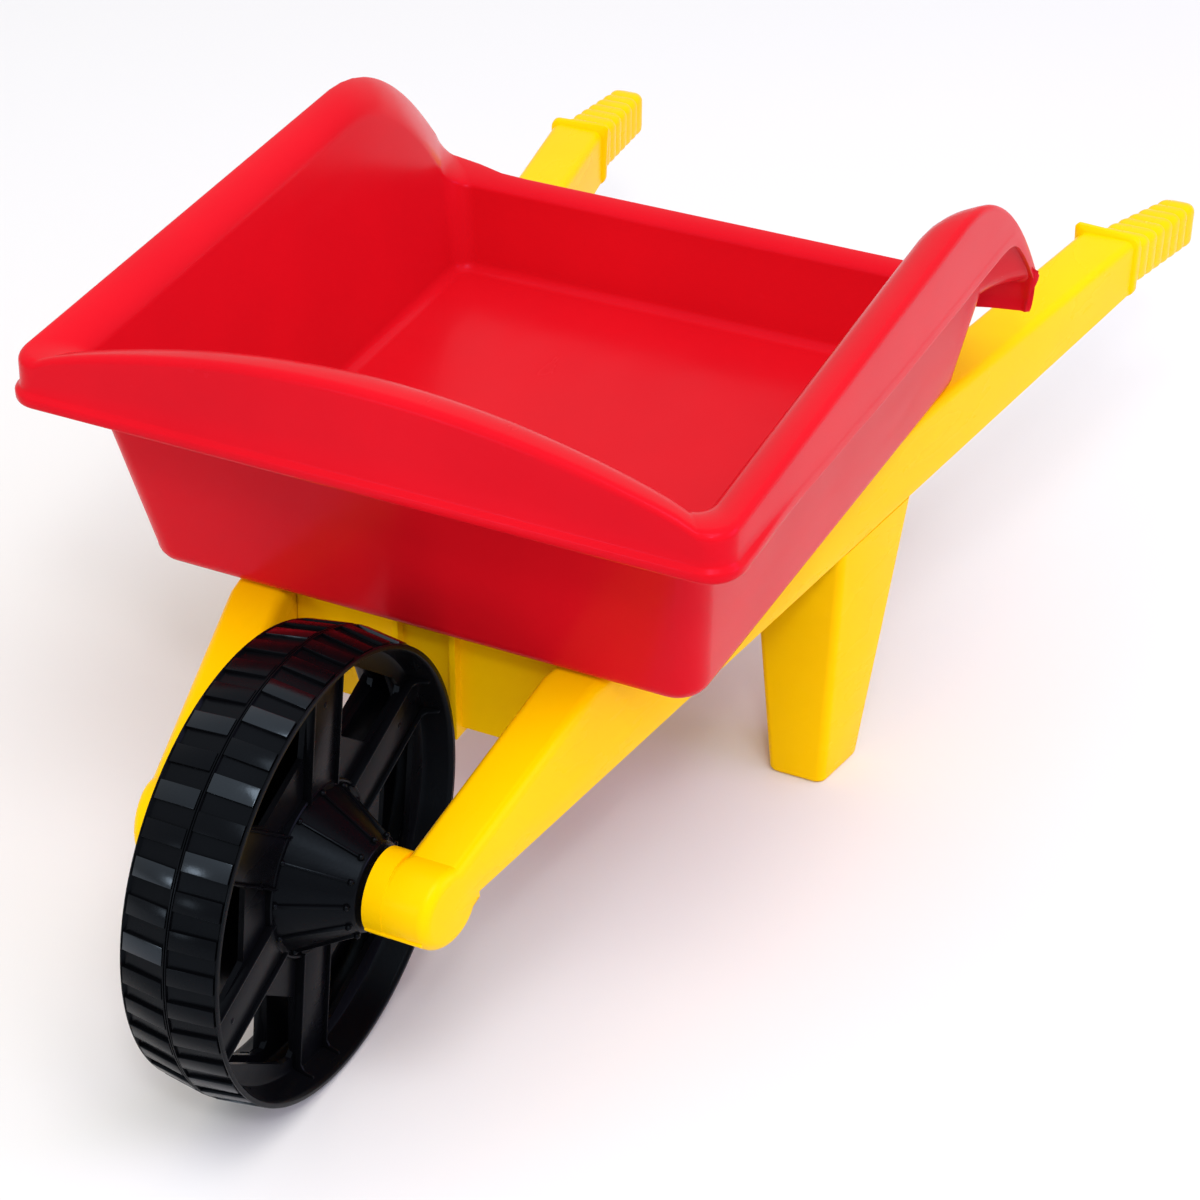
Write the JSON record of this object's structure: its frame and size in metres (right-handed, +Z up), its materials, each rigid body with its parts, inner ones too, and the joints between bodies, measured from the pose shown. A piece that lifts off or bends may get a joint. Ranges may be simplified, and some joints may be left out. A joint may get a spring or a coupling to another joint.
{
  "type": "toy wheelbarrow",
  "caption": "Child's plastic toy wheelbarrow: a red tray with a rolled rim on a yellow rail frame with straight legs, ridged grips and a black spoked wheel.",
  "frame": {"origin": "on the floor, under the middle of the whole wheelbarrow's box", "axes": "-Y towards the wheel at the front, +Y towards the handles, +Z up, +X to the right of a person who holds the handles"},
  "size_m": [0.3468, 0.7636, 0.288],
  "materials": {
    "red_plastic": "glossy injection-moulded plastic",
    "yellow_plastic": "glossy injection-moulded plastic",
    "black_plastic": "satin injection-moulded plastic",
    "natural_plastic": "unpigmented slippery plastic",
    "zinc_steel": "bright zinc-plated steel"
  },
  "bodies": {
    "frame": {"tray": "red_plastic", "left_side_rail": "yellow_plastic", "right_side_rail": "yellow_plastic", "left_leg": "yellow_plastic", "right_leg": "yellow_plastic", "front_cross_member": "yellow_plastic", "rear_cross_member": "yellow_plastic", "left_hub_washer": "natural_plastic", "right_hub_washer": "natural_plastic", "axle": "zinc_steel", "tray_screw_front_left": "zinc_steel", "tray_screw_front_right": "zinc_steel", "tray_screw_rear_left": "zinc_steel", "tray_screw_rear_right": "zinc_steel", "cross_screw_front_left": "zinc_steel", "cross_screw_front_right": "zinc_steel", "cross_screw_rear_left": "zinc_steel", "cross_screw_rear_right": "zinc_steel", "leg_screw_left": "zinc_steel", "leg_screw_right": "zinc_steel"},
    "wheel": {"left_wheel_half": "black_plastic", "right_wheel_half": "black_plastic", "wheel_screw_1": "zinc_steel", "wheel_screw_2": "zinc_steel", "wheel_screw_3": "zinc_steel"}
  },
  "joints": [
    {"name": "wheel_spin", "type": "hinge", "parent": "frame", "child": "wheel", "pos_m": [0, -0.2838, 0.098], "axis": [1, 0, 0], "continuous": true}
  ]
}
